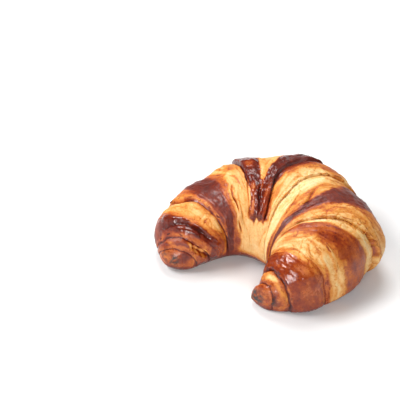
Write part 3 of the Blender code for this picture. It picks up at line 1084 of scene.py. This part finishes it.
# %% Where the flakes are
LIP_FLAKES = (
    (1, -1, (30, 150), 4), (2, -1, (20, 165), 7), (5, 1, (40, 120), 5), (6, 1, (-20, 130), 9),
    (7, 1, (-20, 120), 5), (8, 1, (0, 150), 6), (9, 1, (20, 130), 3),
)
LEAF_FLAKES = (
    ("cream leaf", 1), ("left back leaf", 2), ("left back leaf third", 2), ("back leaf", 2),
    ("back leaf third", 3), ("right first leaf", 4), ("right second leaf", 3),
    ("right speckled leaf", 6), ("gold leaf", 5), ("gold leaf second", 4), ("pale flake", 1),
)
LEAF_END_MARGIN = 8


def lip_edge(number):
    """The place of a lap's free edge, as a function of the angle."""
    def place(angle):
        return float(line_round(GROOVES[number], angle) + ragged(np.radians(angle), number))
    return place


def leaf_edge(points):
    """The place of a leaf's edge, as a function of the angle."""
    line = sorted((angle, place) for place, angle in points)
    return lambda angle: float(np.interp(angle, *zip(*line)))


def flaky_edges():
    """Each edge that carries flakes: its line, free side, span of angles and number of flakes."""
    edges = [(lip_edge(number), free, span, count) for number, free, span, count in LIP_FLAKES]
    lines = {name: corners for name, corners, *_ in LEAVES}
    for name, count in LEAF_FLAKES:
        angles = [angle for _, angle in lines[name]]
        free = 1 if angles[-1] > angles[0] else -1
        span = (min(angles) + LEAF_END_MARGIN, max(angles) - LEAF_END_MARGIN)
        edges.append((leaf_edge(lines[name]), free, span, count))
    return edges


print("edges with flakes:", len(flaky_edges()))

# %% [markdown]
# Smooth noise picks each flake's place, length, width and lift, so that no two are alike and every
# run gives the same ones. A size is a least value and what chance can add. A Solidify modifier then
# gives all the sheets their thickness at once, evenly on both sides.

# %% All flakes
LENGTHS = (3.5, 8.0)
WIDTHS = (0.3, 1.0)
LIFTS = (0.10, 0.45)
FLAKE_THICKNESS = 0.28


def flake_chances(row, k):
    """Four smooth draws from 0 to 1 for one flake, the same on every run."""
    spots = [(row * 1.7 + 0.3, k * 2.3 + 0.7, part + 0.4) for part in range(4)]
    return [0.5 + 0.5 * noise.noise(spot) for spot in spots]


def add_flakes():
    bm = bmesh.new()
    layer = bm.verts.layers.float.new("bake")
    made = 0
    for row, (edge, free, span, count) in enumerate(flaky_edges()):
        for k in range(count):
            where, *sizes = flake_chances(row, k)
            middle = span[0] + (span[1] - span[0]) * (k + 0.2 + 0.6 * where) / count
            length, width, lift = (
                least + more * chance for (least, more), chance in zip((LENGTHS, WIDTHS, LIFTS), sizes)
            )
            add_flake(bm, layer, edge, free, middle, length, width, lift, row * 10.0 + k)
            made += 1
    bmesh.ops.recalc_face_normals(bm, faces=bm.faces[:])
    mesh = bpy.data.meshes.new("lip_flakes")
    bm.to_mesh(mesh)
    bm.free()
    mesh.shade_smooth()
    print("flakes:", made, "faces:", len(mesh.polygons))
    holder = bpy.data.objects.new("lip_flakes", mesh)
    wall = holder.modifiers.new("thickness", "SOLIDIFY")
    wall.thickness = FLAKE_THICKNESS * MM
    wall.offset = 0
    return holder


flakes = add_flakes()
bpy.context.scene.collection.objects.link(flakes)
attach(flakes, "root")

# %% [markdown]
# The crust's material reads the darkness of each point. A colour ramp runs from cream over golden
# and orange to reddish and nearly black brown, as dough does in the oven. Before the ramp, three
# sizes of noise mottle the darkness, thin edges add theirs, the creases add painted shade, and
# small toasted flecks show.

# %% Colour of the crust
CRUST_COLOURS = (
    (0.00, (0.890, 0.670, 0.350)),
    (0.18, (0.830, 0.490, 0.180)),
    (0.36, (0.690, 0.260, 0.036)),
    (0.52, (0.480, 0.104, 0.010)),
    (0.66, (0.270, 0.033, 0.004)),
    (0.80, (0.130, 0.011, 0.003)),
    (1.00, (0.042, 0.006, 0.005)),
)
CHAR_COLOUR = (0.030, 0.024, 0.024, 1)
MOTTLING = ((170.0, 0.20), (520.0, 0.20), (1500.0, 0.12))
FLECK_SCALE = 900.0
FLECK_RANGE = (0.64, 0.70)
FLECK_AMOUNT = 0.14


class Nodes:
    """Adds nodes to one material and wires them up."""

    def __init__(self, material):
        material.use_nodes = True
        self.nodes = material.node_tree.nodes
        self.links = material.node_tree.links
        self.shader = self.nodes["Principled BSDF"]
        self.place = self.nodes.new("ShaderNodeTexCoord").outputs["Object"]

    def fill(self, socket, value):
        if isinstance(value, bpy.types.NodeSocket):
            self.links.new(value, socket)
        else:
            socket.default_value = value

    def add(self, kind, **inputs):
        """A node of this kind, with the inputs of these names filled."""
        node = self.nodes.new(kind)
        for name, value in inputs.items():
            self.fill(node.inputs[name.replace("_", " ")], value)
        return node

    def maths(self, operation, *inputs):
        node = self.nodes.new("ShaderNodeMath")
        node.operation = operation
        for socket, value in zip(node.inputs, inputs):
            self.fill(socket, value)
        return node.outputs[0]

    def attribute(self, name):
        node = self.nodes.new("ShaderNodeAttribute")
        node.attribute_name = name
        return node.outputs["Fac"]

    def noise(self, scale, detail=3.0):
        node = self.add("ShaderNodeTexNoise", Vector=self.place, Scale=scale, Detail=detail)
        return node.outputs["Fac"]

    def between(self, value, span):
        """The value's share of the way through the span, from 0 to 1."""
        node = self.add("ShaderNodeMapRange", Value=value, From_Min=span[0], From_Max=span[1])
        return node.outputs[0]

    def uneven(self, value, scale, amount):
        """The value with noise added that is evenly above and below it."""
        centred_noise = self.maths("SUBTRACT", self.noise(scale), 0.5)
        return self.maths("MULTIPLY_ADD", centred_noise, amount, value)


def mottled_darkness(tree):
    baked = tree.maths("ADD", tree.attribute("bake"), tree.attribute("tint"))
    for scale, amount in MOTTLING:
        baked = tree.uneven(baked, scale, amount)
    flecks = tree.between(tree.noise(FLECK_SCALE, 1.0), FLECK_RANGE)
    return tree.maths("MULTIPLY_ADD", flecks, FLECK_AMOUNT, baked)


def crust_colour(tree, baked):
    """The colour ramp over the darkness, with char mixed over it."""
    node = tree.add("ShaderNodeValToRGB", Fac=baked)
    stops = node.color_ramp.elements
    while len(stops) < len(CRUST_COLOURS):
        stops.new(0.5)
    for stop, (position, colour) in zip(stops, CRUST_COLOURS):
        stop.position = position
        stop.color = (*colour, 1)
    burnt = tree.nodes.new("ShaderNodeMix")
    burnt.data_type = "RGBA"
    tree.fill(burnt.inputs["Factor"], tree.attribute("char"))
    first_colour, second_colour = (socket for socket in burnt.inputs if socket.type == "RGBA")
    tree.fill(first_colour, node.outputs["Color"])
    tree.fill(second_colour, CHAR_COLOUR)
    return next(socket for socket in burnt.outputs if socket.type == "RGBA")


print("stops in the colour ramp:", len(CRUST_COLOURS))

# %% [markdown]
# Lye leaves a thin glaze, so dark crust is smooth and pale dough is matt. The roughness falls as the
# darkness rises, by as much as the place is glazed. Two sizes of bump give the pores, which are
# too fine for the mesh. A little light goes into the dough and comes out beside, which softens it.

# %% Gloss, pores and the whole material
PLAIN_ROUGHNESS = 0.60
GLAZED_ROUGHNESS = 0.15
GLAZED_DARKNESS = (0.44, 0.62)
ROUGHNESS_NOISE = (300.0, 0.12)
BUMP_SIZES = ((420.0, 0.4, 0.0004), (1300.0, 0.35, 0.0002))
SPECULAR = 0.4
SOFTNESS = 0.12
SOFTNESS_RADIUS = (1.0, 0.35, 0.12)
SOFTNESS_SCALE = 2.0 * MM


def crust_roughness(tree, baked):
    shine = tree.maths("MULTIPLY", tree.between(baked, GLAZED_DARKNESS), tree.attribute("gloss"))
    glaze = GLAZED_ROUGHNESS - PLAIN_ROUGHNESS
    rough = tree.maths("MULTIPLY_ADD", shine, glaze, PLAIN_ROUGHNESS)
    return tree.uneven(rough, *ROUGHNESS_NOISE)


def crust_normal(tree):
    normal = None
    for scale, strength, distance in BUMP_SIZES:
        height = tree.noise(scale, 4.0)
        bump = tree.add("ShaderNodeBump", Strength=strength, Distance=distance, Height=height)
        if normal is not None:
            tree.fill(bump.inputs["Normal"], normal)
        normal = bump.outputs["Normal"]
    return normal


def crust_material():
    material = bpy.data.materials.new("baked crust")
    tree = Nodes(material)
    baked = mottled_darkness(tree)
    inputs = tree.shader.inputs
    tree.fill(inputs["Base Color"], crust_colour(tree, baked))
    tree.fill(inputs["Roughness"], crust_roughness(tree, baked))
    tree.fill(inputs["Normal"], crust_normal(tree))
    inputs["Specular IOR Level"].default_value = SPECULAR
    inputs["Subsurface Weight"].default_value = SOFTNESS
    inputs["Subsurface Radius"].default_value = SOFTNESS_RADIUS
    inputs["Subsurface Scale"].default_value = SOFTNESS_SCALE
    return material


crust = crust_material()
for piece in (croissant, flakes):
    piece.data.materials.append(crust)
print("nodes in the crust's material:", len(crust.node_tree.nodes))
